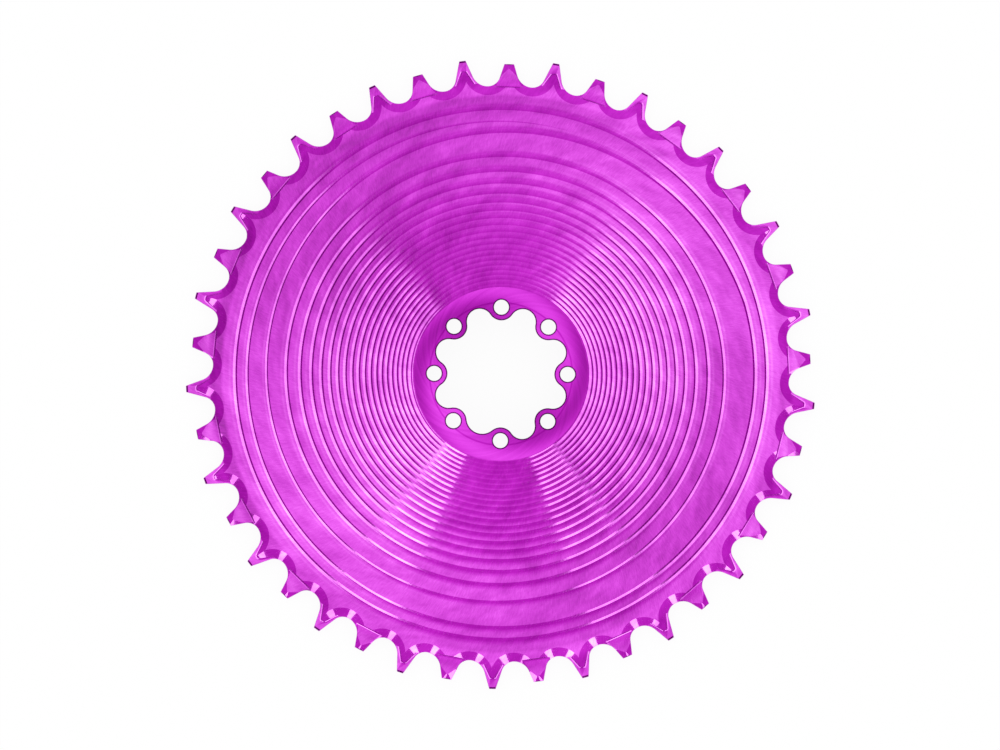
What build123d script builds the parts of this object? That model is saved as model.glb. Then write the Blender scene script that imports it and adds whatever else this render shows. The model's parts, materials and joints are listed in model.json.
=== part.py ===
from math import cos, radians, sin, sqrt, tan

from build123d import *
import os

# A one-piece dished chainring for a single-ring crank, turned and milled from one plate.
# The row's origin is the centre of the bolt circle, on the face that meets the crank.
# +Z is the ring's axis and points away from the bicycle, so the teeth lie below the hub.
# Lengths are in millimetres and angles in degrees. Azimuths count from +X towards +Y.

# Chain and tooth outline
tooth_count = 42
chain_pitch = 12.7
root_depth = 3.92
wide_tip_height = 3.75
narrow_tip_height = 2.25
tooth_width = 4.14
flank_angle = 17.4
gullet_skew = 0.35
first_wide_azimuth = 11.76

# Rim section, in from the pitch circle
rim_thickness = 4.0
rim_flat_depth = 10.3
rim_back_depth = 12.4
rim_back_corner = 0.9
band_width = 3.3

# How far both faces of a tooth are milled back to let the chain's inner links in
tooth_relief = 1.0

# Cone that chamfers each gullet, centred near its roller
chamfer_seat = 4.2
chamfer_reach = 6.75
chamfer_rise = 0.3
chamfer_lag = 0.25

# Flat on a narrow tooth, and the bevelled crown that stands on it
narrow_chord_depth = 4.35
narrow_flat_width = 7.9
narrow_apex_height = 0.5
narrow_knee_depth = 1.35
narrow_knee_width = 4.2
narrow_crown_width = 8.4
narrow_bevel_angle = 14.0

# Flat round a wide tooth, which leaves a raised wedge between two chamfers
wide_apex_height = 0.95
wide_apex_width = 1.7
wide_leg_angle = 27.0
wide_run_out_depth = 3.1

# Spiral terraces that a cutter leaves on the dish
step_height = 0.3
riser_run = 0.35
spiral_turns = 20.3
spiral_lead_in = 2.35
spiral_azimuth = 0.45
spiral_run_on = 1.2
spiral_spans = 9
crest_radius = 24.4
web_thickness = 1.8
back_cones = 3

# Hub, its bolt holes and the scalloped opening that runs round them
hub_recess_radius = 19.8
hub_recess_depth = 0.3
hub_thickness = 3.0
hub_back_radius = 25.2
hub_back_corner = 0.6
bolt_count = 8
bolt_circle_radius = 18.75
bolt_hole_radius = 2.1
bolt_nose_radius = 3.72
relief_radius = 19.45
key_relief_radius = 17.9
key_relief_index = 5

# Room that a cutter has past the surface that it leaves
overrun = 1.0

# Sizes that follow from the ones above
tooth_angle = 360 / tooth_count
wide_count = tooth_count // 2
bolt_angle = 360 / bolt_count
pitch_radius = chain_pitch / 2 / sin(radians(tooth_angle / 2))
root_radius = pitch_radius - root_depth
wide_tip_radius = pitch_radius + wide_tip_height
narrow_tip_radius = pitch_radius + narrow_tip_height
outside_radius = wide_tip_radius + overrun
rim_flat_radius = pitch_radius - rim_flat_depth
rim_back_radius = pitch_radius - rim_back_depth
band_radius = rim_flat_radius - band_width
spiral_start_radius = band_radius + spiral_lead_in
first_gullet_azimuth = first_wide_azimuth + tooth_angle / 2
first_narrow_azimuth = first_wide_azimuth + tooth_angle
plateau_z = hub_recess_depth
band_z = plateau_z - step_height * (spiral_turns + 1)
rim_front_z = band_z - step_height
rim_back_z = rim_front_z - rim_thickness
relief_z = rim_front_z - tooth_relief
cutter_top_z = plateau_z + overrun
rim_middle_plane = Plane.XY.offset(rim_front_z - rim_thickness / 2)
relief_plane = Plane.XY.offset(relief_z)
below_plane = Plane.XY.offset(rim_back_z - overrun)
through_height = cutter_top_z - rim_back_z + overrun


def polar(radius, azimuth):
    """The point at a radius and an azimuth round the ring's axis."""
    return Vector(radius * cos(radians(azimuth)), radius * sin(radians(azimuth)))


# The spiral path, whose radius falls with the root of its turns as its height climbs evenly
def spiral_radius(turn):
    """The radius of the riser's foot after a number of turns."""
    return spiral_start_radius - (spiral_start_radius - crest_radius) * sqrt(turn / spiral_turns)


def turn_at(radius):
    """The number of turns after which the riser's foot has come in to a radius."""
    inward = (spiral_start_radius - radius) / (spiral_start_radius - crest_radius)
    return spiral_turns * inward**2


def dish_z(radius):
    """The height of the terraces' feet at a radius, on a shallow parabola."""
    return band_z + step_height * turn_at(radius)


first_turn = turn_at(band_radius + riser_run + overrun)
half_turns = round(2 * (turn_at(crest_radius) + spiral_run_on - first_turn))
last_turn = first_turn + half_turns / 2


def foot(turn):
    """A point at the foot of the riser, where the lower terrace ends."""
    point = polar(spiral_radius(turn), spiral_azimuth + 360 * turn)
    return Vector(point.X, point.Y, band_z + step_height * turn)


def lip(turn):
    """A point on the riser's lip, or before the first turn on the cutter's outer edge."""
    radius = spiral_radius(max(turn, first_turn)) - riser_run
    point = polar(radius + overrun * max(first_turn - turn, 0), spiral_azimuth + 360 * turn)
    return Vector(point.X, point.Y, band_z + step_height * (turn + 1))


def top(turn):
    """The point above the lip on the flat top of the cutter."""
    point = lip(turn)
    return Vector(point.X, point.Y, cutter_top_z)


def half_turn(curve, index):
    """The half turn of a curve that has an index, counted from the first turn."""
    turns = [first_turn + (index + step / spiral_spans) / 2 for step in range(spiral_spans + 1)]
    return Spline(*[curve(turn) for turn in turns]).edge()


def ruled(lower, lower_index, upper, upper_index):
    """The ruled face between a half turn of one curve and a half turn of another."""
    return Face.make_surface_from_curves(half_turn(lower, lower_index), half_turn(upper, upper_index))


def end_wall(turn):
    """The upright face that closes the cutter where the spiral starts or stops."""
    corners = [lip(turn - 1), foot(turn), lip(turn), top(turn), top(turn - 1)]
    return Face(Wire.make_polygon(corners, close=True))


def top_loop(end_index):
    """The loop on the cutter's flat top over the turn before a half turn's start."""
    turn = first_turn + end_index / 2
    arcs = [half_turn(top, end_index - 2), half_turn(top, end_index - 1)]
    return Wire([*arcs, Edge.make_line(top(turn), top(turn - 1))])


terraces = [ruled(lip, index - 2, foot, index) for index in range(half_turns)]
risers = [ruled(foot, index, lip, index) for index in range(half_turns)]
side_walls = [ruled(lip, index, top, index) for index in (-2, -1, half_turns - 2, half_turns - 1)]
end_walls = [end_wall(first_turn), end_wall(last_turn)]
flat_top = Face(top_loop(0), [top_loop(half_turns)])
swept_skin = Shell([*terraces, *risers, *side_walls, *end_walls, flat_top])

# The space that the spiral cutter sweeps, as far in as the crest round the hub
with BuildPart() as spiral_cutter:
    add(Solid(swept_skin))
    with BuildSketch(below_plane):
        Circle(crest_radius)
    extrude(amount=through_height, mode=Mode.SUBTRACT)


# One gap between two teeth, whose flanks run into two arcs that meet at its lowest point
def flank(side):
    """A point on the flank beside a gullet, and the way out of the tooth from there."""
    slope = radians(flank_angle)
    point = Vector(pitch_radius, -side * tooth_width / 2)
    outward = Vector(sin(slope), -side * cos(slope))
    return point.rotate(Axis.Z, side * tooth_angle / 2), outward.rotate(Axis.Z, side * tooth_angle / 2)


def flank_line(side, lowest):
    """Where a flank leaves the blank, where it meets the gullet's arc, and its way inwards."""
    point, outward = flank(side)
    arc_radius = outward.dot(lowest - point) / (1 - outward.X)
    tangent_point = lowest + Vector(arc_radius, 0) - outward * arc_radius
    inwards = outward.rotate(Axis.Z, -side * 90)
    return point - inwards * (outside_radius - point.X), tangent_point, inwards


with BuildPart() as gullet_cutter:
    with BuildSketch(below_plane):
        with BuildLine():
            lowest = Vector(root_radius, -gullet_skew)
            low_end, low_tangent, low_way = flank_line(-1, lowest)
            high_end, high_tangent, high_way = flank_line(1, lowest)
            Line(low_end, low_tangent)
            TangentArc(low_tangent, lowest, tangent=low_way)
            TangentArc(high_tangent, lowest, tangent=high_way)
            Line(high_tangent, high_end)
            Line(high_end, low_end)
        make_face()
    extrude(amount=rim_thickness + 2 * overrun)

# The outside of a narrow tooth, which is shorter than a wide one
with BuildPart() as narrow_trim:
    with BuildSketch(below_plane):
        with BuildLine():
            corners = [
                polar(radius, side * tooth_angle / 2)
                for radius in (narrow_tip_radius, outside_radius)
                for side in (-1, 1)
            ]
            ThreePointArc(corners[0], (narrow_tip_radius, 0), corners[1])
            Line(corners[1], corners[3])
            ThreePointArc(corners[3], (outside_radius, 0), corners[2])
            Line(corners[2], corners[0])
        make_face()
    extrude(amount=rim_thickness + 2 * overrun)

with BuildPart() as gullet_chamfer:
    with Locations(relief_plane):
        Cone(
            bottom_radius=chamfer_seat,
            top_radius=chamfer_reach + overrun * (chamfer_reach - chamfer_seat) / tooth_relief,
            height=tooth_relief + overrun,
            align=(Align.CENTER, Align.CENTER, Align.MIN),
        )
    mirror(about=rim_middle_plane)

# The crown on a narrow tooth, whose four sides are bevelled down towards the tooth's flanks
chord_radius = pitch_radius - narrow_chord_depth
crown_corners = [
    Vector(chord_radius, narrow_crown_width / 2, relief_z),
    Vector(pitch_radius - narrow_knee_depth, narrow_knee_width / 2, relief_z),
    Vector(pitch_radius + narrow_apex_height, 0, relief_z),
]
with BuildPart() as narrow_crown:
    with BuildSketch(relief_plane):
        with Locations((pitch_radius, 0)):
            Rectangle(2 * (narrow_chord_depth + overrun), narrow_flat_width + 2 * overrun)
    extrude(amount=-2 * overrun)
    for start, end in zip(crown_corners, crown_corners[1:]):
        outward = (end - start).cross(Vector(0, 0, -1)).normalized()
        normal = outward * sin(radians(narrow_bevel_angle)) + Vector(0, 0, cos(radians(narrow_bevel_angle)))
        bevel = Plane(start, z_dir=normal)
        mirrored_bevel = Plane(Vector(start.X, -start.Y, start.Z), z_dir=Vector(normal.X, -normal.Y, normal.Z))
        split(bisect_by=bevel, keep=Keep.BOTTOM)
        split(bisect_by=mirrored_bevel, keep=Keep.BOTTOM)

# A narrow tooth's flat behind a straight chord, with the bevelled crown left standing in it
with BuildPart() as narrow_flat:
    with BuildSketch(relief_plane.offset(-overrun)):
        with Locations(((chord_radius + outside_radius) / 2, 0)):
            Rectangle(outside_radius - chord_radius, narrow_flat_width)
    extrude(amount=tooth_relief + 2 * overrun)
    add(narrow_crown.part, mode=Mode.SUBTRACT)
    mirror(about=rim_middle_plane)

# A wide tooth's flat, which goes round a raised wedge and runs out into both gullets
with BuildPart() as wide_flat:
    run_out_radius = pitch_radius - wide_run_out_depth
    apex_radius = pitch_radius + wide_apex_height
    leg_run = (apex_radius - run_out_radius) * tan(radians(wide_leg_angle))
    foot_width = wide_apex_width + 2 * leg_run
    with BuildSketch(relief_plane):
        with Locations(((run_out_radius + outside_radius) / 2, 0)):
            Rectangle(outside_radius - run_out_radius, 2 * foot_width)
        with BuildLine():
            Polyline(
                (run_out_radius, -foot_width / 2),
                (apex_radius, -wide_apex_width / 2),
                (apex_radius, wide_apex_width / 2),
                (run_out_radius, foot_width / 2),
                close=True,
            )
        make_face(mode=Mode.SUBTRACT)
    extrude(amount=tooth_relief + overrun)
    mirror(about=rim_middle_plane)


# The opening's outline is a nose round each bolt hole and a hollow between two noses
def hollow_start(hollow_radius):
    """Where the arc of a hollow that reaches out to a radius leaves a nose at azimuth 0."""
    nose = Vector(bolt_circle_radius, 0)
    reach = hollow_radius + bolt_nose_radius
    middle_radius = (reach**2 - bolt_circle_radius**2) / 2
    middle_radius /= reach - bolt_circle_radius * cos(radians(bolt_angle / 2))
    middle = polar(middle_radius, bolt_angle / 2)
    return nose + (middle - nose).normalized() * bolt_nose_radius


def hollow(index):
    """The radius to which the hollow after a bolt hole reaches out."""
    return key_relief_radius if index % bolt_count == key_relief_index % bolt_count else relief_radius


# The turned plate, with everything that is then milled from it
with BuildPart() as chainring:
    with BuildSketch(Plane.XZ) as section:
        with BuildLine():
            back_radii = [
                rim_back_radius + (hub_back_radius - rim_back_radius) * index / back_cones
                for index in range(back_cones + 1)
            ]
            Polyline(
                (0, -hub_thickness),
                (0, 0),
                (hub_recess_radius, 0),
                (hub_recess_radius, plateau_z),
                (band_radius, plateau_z),
                (band_radius, band_z),
                (rim_flat_radius, band_z),
                (rim_flat_radius, rim_front_z),
                (wide_tip_radius, rim_front_z),
                (wide_tip_radius, rim_back_z),
                (rim_back_radius, rim_back_z),
                *[(radius, dish_z(radius) - web_thickness) for radius in back_radii],
                (hub_back_radius, -hub_thickness),
                close=True,
            )
        make_face()
        for radius, corner in ((rim_back_radius, rim_back_corner), (hub_back_radius, hub_back_corner)):
            wall_ends = section.vertices().filter_by_position(Axis.X, radius, radius)
            chamfer(wall_ends.sort_by(Axis.Y)[-1], corner)
    revolve(axis=Axis.Z)
    add(spiral_cutter.part, mode=Mode.SUBTRACT)
    with PolarLocations(0, tooth_count, start_angle=first_gullet_azimuth):
        add(gullet_cutter.part, mode=Mode.SUBTRACT)
    with PolarLocations(0, wide_count, start_angle=first_narrow_azimuth):
        add(narrow_trim.part, mode=Mode.SUBTRACT)
    chamfer_radius = pitch_radius + chamfer_rise
    with PolarLocations(chamfer_radius, tooth_count, start_angle=first_gullet_azimuth - chamfer_lag):
        add(gullet_chamfer.part, mode=Mode.SUBTRACT)
    with PolarLocations(0, wide_count, start_angle=first_narrow_azimuth):
        add(narrow_flat.part, mode=Mode.SUBTRACT)
    with PolarLocations(0, wide_count, start_angle=first_wide_azimuth):
        add(wide_flat.part, mode=Mode.SUBTRACT)
    with BuildSketch(below_plane):
        with BuildLine():
            for index in range(bolt_count):
                azimuth = index * bolt_angle
                before = hollow_start(hollow(index - 1))
                after = hollow_start(hollow(index)).rotate(Axis.Z, azimuth)
                nose_start = Vector(before.X, -before.Y).rotate(Axis.Z, azimuth)
                mirrored = hollow_start(hollow(index))
                hollow_end = Vector(mirrored.X, -mirrored.Y).rotate(Axis.Z, azimuth + bolt_angle)
                ThreePointArc(nose_start, polar(bolt_circle_radius - bolt_nose_radius, azimuth), after)
                ThreePointArc(after, polar(hollow(index), azimuth + bolt_angle / 2), hollow_end)
        make_face()
    extrude(amount=through_height, mode=Mode.SUBTRACT)
    with PolarLocations(bolt_circle_radius, bolt_count):
        Hole(bolt_hole_radius)

chainring.part.label = "chainring"
os.makedirs("parts", exist_ok=True)
export_step(chainring.part, "parts/chainring.step")
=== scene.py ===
"""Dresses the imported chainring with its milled, anodised surface and sets it in a plain studio."""

import json
import logging
import math
from collections.abc import Iterable, Sequence
from dataclasses import dataclass, field
from enum import Enum

import bmesh
import bpy
from mathutils import Matrix, Vector

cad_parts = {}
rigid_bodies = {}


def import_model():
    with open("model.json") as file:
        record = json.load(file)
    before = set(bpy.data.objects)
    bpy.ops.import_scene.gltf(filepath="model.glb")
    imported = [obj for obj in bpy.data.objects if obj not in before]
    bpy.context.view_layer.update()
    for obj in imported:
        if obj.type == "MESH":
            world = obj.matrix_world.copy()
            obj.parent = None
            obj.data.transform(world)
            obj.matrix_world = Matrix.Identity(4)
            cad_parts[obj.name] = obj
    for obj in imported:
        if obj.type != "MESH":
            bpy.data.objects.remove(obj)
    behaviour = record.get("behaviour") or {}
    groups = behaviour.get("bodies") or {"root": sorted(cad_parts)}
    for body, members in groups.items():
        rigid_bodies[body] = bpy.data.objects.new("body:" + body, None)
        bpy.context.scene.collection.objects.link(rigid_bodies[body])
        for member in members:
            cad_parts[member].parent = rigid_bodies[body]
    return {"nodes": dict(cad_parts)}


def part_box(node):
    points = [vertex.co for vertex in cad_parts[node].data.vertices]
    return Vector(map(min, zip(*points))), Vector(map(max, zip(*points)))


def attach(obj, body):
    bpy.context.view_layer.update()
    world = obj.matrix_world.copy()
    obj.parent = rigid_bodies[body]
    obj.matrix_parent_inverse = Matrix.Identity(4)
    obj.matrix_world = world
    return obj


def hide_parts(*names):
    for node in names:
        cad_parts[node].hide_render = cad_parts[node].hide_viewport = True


log = logging.getLogger("chainring")

MILLIMETRE = 0.001

# Distances in millimetres within which corners are one, on a surface and where two surfaces meet
CLOSE = 1e-4
MEETING = 2e-3

# The picture's frame in pixels
FRAME_WIDTH = 1000
FRAME_HEIGHT = 750

Outline = list[Vector]
Profile = list[tuple[float, float]]


class Side(Enum):
    """The two faces of the ring, by the way that each one faces along its axis."""

    FRONT = 1
    BACK = -1


@dataclass(frozen=True)
class Blank:
    """The turned blank's driving sizes in millimetres and degrees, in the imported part's frame."""

    tooth_count: int = 42
    chain_pitch: float = 12.7
    first_wide_azimuth: float = 11.76
    rim_thickness: float = 4.0
    rim_flat_depth: float = 10.75
    rim_back_depth: float = 12.4
    band_width: float = 3.3
    seam_run: float = 3.3
    step_height: float = 0.3
    crest_radius: float = 24.4
    columns_per_pair: int = 16
    plateau_z: float = 0.3
    rim_back_z: float = -10.39

    @property
    def tooth_angle(self) -> float:
        """The angle from one tooth to the next."""
        return 360.0 / self.tooth_count

    @property
    def pair_count(self) -> int:
        """The number of pairs of a wide and a narrow tooth."""
        return self.tooth_count // 2

    @property
    def columns(self) -> int:
        """The number of points on each turned circle."""
        return self.pair_count * self.columns_per_pair

    @property
    def column_angle(self) -> float:
        """The angle from one point of a turned circle to the next."""
        return 360.0 / self.columns

    @property
    def pitch_radius(self) -> float:
        """The radius on which the chain's rollers sit."""
        return self.chain_pitch / 2 / math.sin(math.radians(self.tooth_angle / 2))

    @property
    def rim_flat_radius(self) -> float:
        """The radius of the lip at the inner edge of the rim's flat."""
        return self.pitch_radius - self.rim_flat_depth

    @property
    def band_radius(self) -> float:
        """The radius of the circle that the spiral starts from."""
        return self.rim_flat_radius - self.band_width

    @property
    def rim_back_radius(self) -> float:
        """The radius of the wall behind the rim."""
        return self.pitch_radius - self.rim_back_depth

    @property
    def rim_front_z(self) -> float:
        """The height of the rim's front face."""
        return self.rim_back_z + self.rim_thickness

    @property
    def rim_middle_z(self) -> float:
        """The height halfway between the rim's faces."""
        return (self.rim_front_z + self.rim_back_z) / 2

    @property
    def band_z(self) -> float:
        """The height of the band between the rim's flat and the spiral."""
        return self.rim_front_z + self.step_height

    @property
    def seam_radius(self) -> float:
        """The radius at which the milled tooth ring meets the turned disc."""
        return self.rim_flat_radius + self.seam_run


def polar(radius: float, azimuth: float, height: float = 0.0) -> Vector:
    """Places a point round the ring's axis.

    Args:
        radius: Distance from the axis.
        azimuth: Angle from +X towards +Y, in degrees.
        height: Place along the axis.

    Returns:
        The point.
    """
    angle = math.radians(azimuth)
    return Vector((radius * math.cos(angle), radius * math.sin(angle), height))


def arc(centre: Vector, radius: float, start: float, end: float, step: float = 6.0) -> Outline:
    """Walks along a flat arc.

    Args:
        centre: The arc's centre.
        radius: The arc's radius.
        start: Angle of the first point, in degrees.
        end: Angle of the last point, in degrees.
        step: Largest angle between two points.

    Returns:
        The points with both ends.
    """
    count = max(1, math.ceil(abs(end - start) / step))
    return [centre + polar(radius, start + (end - start) * index / count) for index in range(count + 1)]


def bearing(direction: Vector) -> float:
    """Gives a flat direction's angle from +X towards +Y, in degrees."""
    return math.degrees(math.atan2(direction.y, direction.x))


def turned(outline: Outline, azimuth: float) -> Outline:
    """Turns an outline round the ring's axis by an angle in degrees."""
    turn = Matrix.Rotation(math.radians(azimuth), 3, "Z")
    return [turn @ point for point in outline]


def at_height(outline: Outline, height: float) -> Outline:
    """Lifts a flat outline to a height."""
    return [Vector((point.x, point.y, height)) for point in outline]


def make_object(name: str, mesh: bpy.types.Mesh) -> bpy.types.Object:
    """Links a new object for a mesh to the scene.

    Args:
        name: The object's name.
        mesh: The mesh that it shows.

    Returns:
        The object, at the origin.
    """
    made = bpy.data.objects.new(name, mesh)
    bpy.context.scene.collection.objects.link(made)
    return made


def stack(name: str, loops: Sequence[Outline]) -> bpy.types.Object:
    """Makes a closed solid whose wall runs through loops of as many points each.

    Args:
        name: The object's name.
        loops: Loops that run anticlockwise as seen from above, from the lowest to the highest.

    Returns:
        The solid's object.
    """
    shape = bmesh.new()
    rings = [[shape.verts.new(point) for point in loop] for loop in loops]
    for low, high in zip(rings, rings[1:]):
        for index, corner in enumerate(low):
            following = (index + 1) % len(low)
            shape.faces.new((corner, low[following], high[following], high[index]))
    shape.faces.new(reversed(rings[0]))
    shape.faces.new(rings[-1])
    bmesh.ops.recalc_face_normals(shape, faces=shape.faces)
    mesh = bpy.data.meshes.new(name)
    shape.to_mesh(mesh)
    shape.free()
    return make_object(name, mesh)


def carve(block: bpy.types.Object, cutters: Iterable[bpy.types.Object]) -> bpy.types.Object:
    """Cuts solids out of a block, all in one cut, and removes them.

    Args:
        block: The object whose mesh is cut.
        cutters: The solids to take out of it.

    Returns:
        The block.
    """
    tools = bpy.data.collections.new("cutters")
    for cutter in cutters:
        tools.objects.link(cutter)
    cut = block.modifiers.new("cut", "BOOLEAN")
    cut.operation = "DIFFERENCE"
    cut.solver = "EXACT"
    cut.use_hole_tolerant = True
    cut.operand_type = "COLLECTION"
    cut.collection = tools
    settle(block)
    for cutter in list(tools.objects):
        spent = cutter.data
        bpy.data.objects.remove(cutter)
        bpy.data.meshes.remove(spent)
    bpy.data.collections.remove(tools)
    return block


def settle(made: bpy.types.Object) -> None:
    """Turns the result of an object's modifiers into its plain mesh and removes them.

    Args:
        made: The object.
    """
    depsgraph = bpy.context.evaluated_depsgraph_get()
    baked = bpy.data.meshes.new_from_object(made.evaluated_get(depsgraph))
    made.modifiers.clear()
    spent = made.data
    made.data = baked
    bpy.data.meshes.remove(spent)


class Field:
    """A number worked out by nodes, which formulas combine as they would plain numbers."""

    def __init__(self, tree: bpy.types.NodeTree, socket: bpy.types.NodeSocket) -> None:
        """Wraps a socket of a tree."""
        self.tree = tree
        self.socket = socket

    @classmethod
    def formula(cls, tree: bpy.types.NodeTree, operation: str, *values: "Field | float") -> "Field":
        """Adds a math node.

        Args:
            tree: The tree that gets the node.
            operation: The node's operation.
            values: Its inputs, as fields or plain numbers.

        Returns:
            The node's result.
        """
        node = tree.nodes.new("ShaderNodeMath")
        node.operation = operation
        for place, value in zip(node.inputs, values):
            if isinstance(value, Field):
                tree.links.new(value.socket, place)
            else:
                place.default_value = value
        return cls(tree, node.outputs[0])

    def __add__(self, other: "Field | float") -> "Field":
        """Adds."""
        return Field.formula(self.tree, "ADD", self, other)

    def __sub__(self, other: "Field | float") -> "Field":
        """Subtracts."""
        return Field.formula(self.tree, "SUBTRACT", self, other)

    def __rsub__(self, other: float) -> "Field":
        """Subtracts from a plain number."""
        return Field.formula(self.tree, "SUBTRACT", other, self)

    def __mul__(self, other: "Field | float") -> "Field":
        """Multiplies."""
        return Field.formula(self.tree, "MULTIPLY", self, other)

    def __truediv__(self, other: "Field | float") -> "Field":
        """Divides."""
        return Field.formula(self.tree, "DIVIDE", self, other)

    def __gt__(self, other: "Field | float") -> "Field":
        """Gives 1 where this is greater, else 0."""
        return Field.formula(self.tree, "GREATER_THAN", self, other)

    def __lt__(self, other: "Field | float") -> "Field":
        """Gives 1 where this is less, else 0."""
        return Field.formula(self.tree, "LESS_THAN", self, other)

    def at_least(self, other: "Field | float") -> "Field":
        """Gives the greater of the two."""
        return Field.formula(self.tree, "MAXIMUM", self, other)

    def at_most(self, other: "Field | float") -> "Field":
        """Gives the lesser of the two."""
        return Field.formula(self.tree, "MINIMUM", self, other)

    def clamped(self) -> "Field":
        """Keeps it from 0 to 1."""
        return self.at_least(0.0).at_most(1.0)

    def floor(self) -> "Field":
        """Rounds down."""
        return Field.formula(self.tree, "FLOOR", self)

    def root(self) -> "Field":
        """Takes the square root."""
        return Field.formula(self.tree, "SQRT", self)

    def sine(self) -> "Field":
        """Takes the sine of an angle in radians."""
        return Field.formula(self.tree, "SINE", self)

    def cosine(self) -> "Field":
        """Takes the cosine of an angle in radians."""
        return Field.formula(self.tree, "COSINE", self)

    def arccosine(self) -> "Field":
        """Gives the angle, in radians, that has this cosine."""
        return Field.formula(self.tree, "ARCCOSINE", self)

    def mixed(self, other: "Field | float", share: "Field") -> "Field":
        """Mixes with another number.

        Args:
            other: The number that a share of 1 gives.
            share: How much of the other number, from 0 to 1.

        Returns:
            The mixture.
        """
        if isinstance(other, Field):
            return self + (other - self) * share
        return self * (1.0 - share) + share * other


class GeometryRecipe:
    """A Geometry Nodes tree with named number inputs, run once on an object."""

    def __init__(self, name: str, sizes: dict[str, float]) -> None:
        """Starts a tree with a geometry input and one number input for each size.

        Args:
            name: The tree's name.
            sizes: The numbers that its inputs get, by their names.
        """
        self.sizes = sizes
        self.tree = bpy.data.node_groups.new(name, "GeometryNodeTree")
        self.tree.interface.new_socket("Geometry", in_out="INPUT", socket_type="NodeSocketGeometry")
        for size in sizes:
            self.tree.interface.new_socket(size, in_out="INPUT", socket_type="NodeSocketFloat")
        self.tree.interface.new_socket("Geometry", in_out="OUTPUT", socket_type="NodeSocketGeometry")
        self.start = self.tree.nodes.new("NodeGroupInput")
        self.end = self.tree.nodes.new("NodeGroupOutput")

    def size(self, name: str) -> Field:
        """Gives a named input as a field."""
        return Field(self.tree, self.start.outputs[name])

    def node(self, kind: str, **links: "bpy.types.NodeSocket | Field | float") -> bpy.types.Node:
        """Adds a node.

        Args:
            kind: The node's type.
            links: What goes into its inputs, by name with underscores for spaces.

        Returns:
            The node.
        """
        node = self.tree.nodes.new(kind)
        for name, value in links.items():
            place = node.inputs[name.replace("_", " ")]
            if isinstance(value, Field):
                value = value.socket
            if isinstance(value, bpy.types.NodeSocket):
                self.tree.links.new(value, place)
            else:
                place.default_value = value
        return node

    def run(self, made: bpy.types.Object, result: bpy.types.NodeSocket, finish: bpy.types.Material) -> None:
        """Ends the tree, runs it on an object and leaves the result as its plain mesh.

        Args:
            made: The object that the tree works on.
            result: The geometry that the tree ends with.
            finish: The material of the result.
        """
        real = self.node("GeometryNodeRealizeInstances", Geometry=result)
        dressed = self.node("GeometryNodeSetMaterial", Geometry=real.outputs["Geometry"])
        dressed.inputs["Material"].default_value = finish
        self.tree.links.new(dressed.outputs["Geometry"], self.end.inputs["Geometry"])
        modifier = made.modifiers.new(self.tree.name, "NODES")
        modifier.node_group = self.tree
        for item in self.tree.interface.items_tree:
            if item.in_out == "INPUT" and item.name in self.sizes:
                modifier[item.identifier] = float(self.sizes[item.name])
        settle(made)


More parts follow.
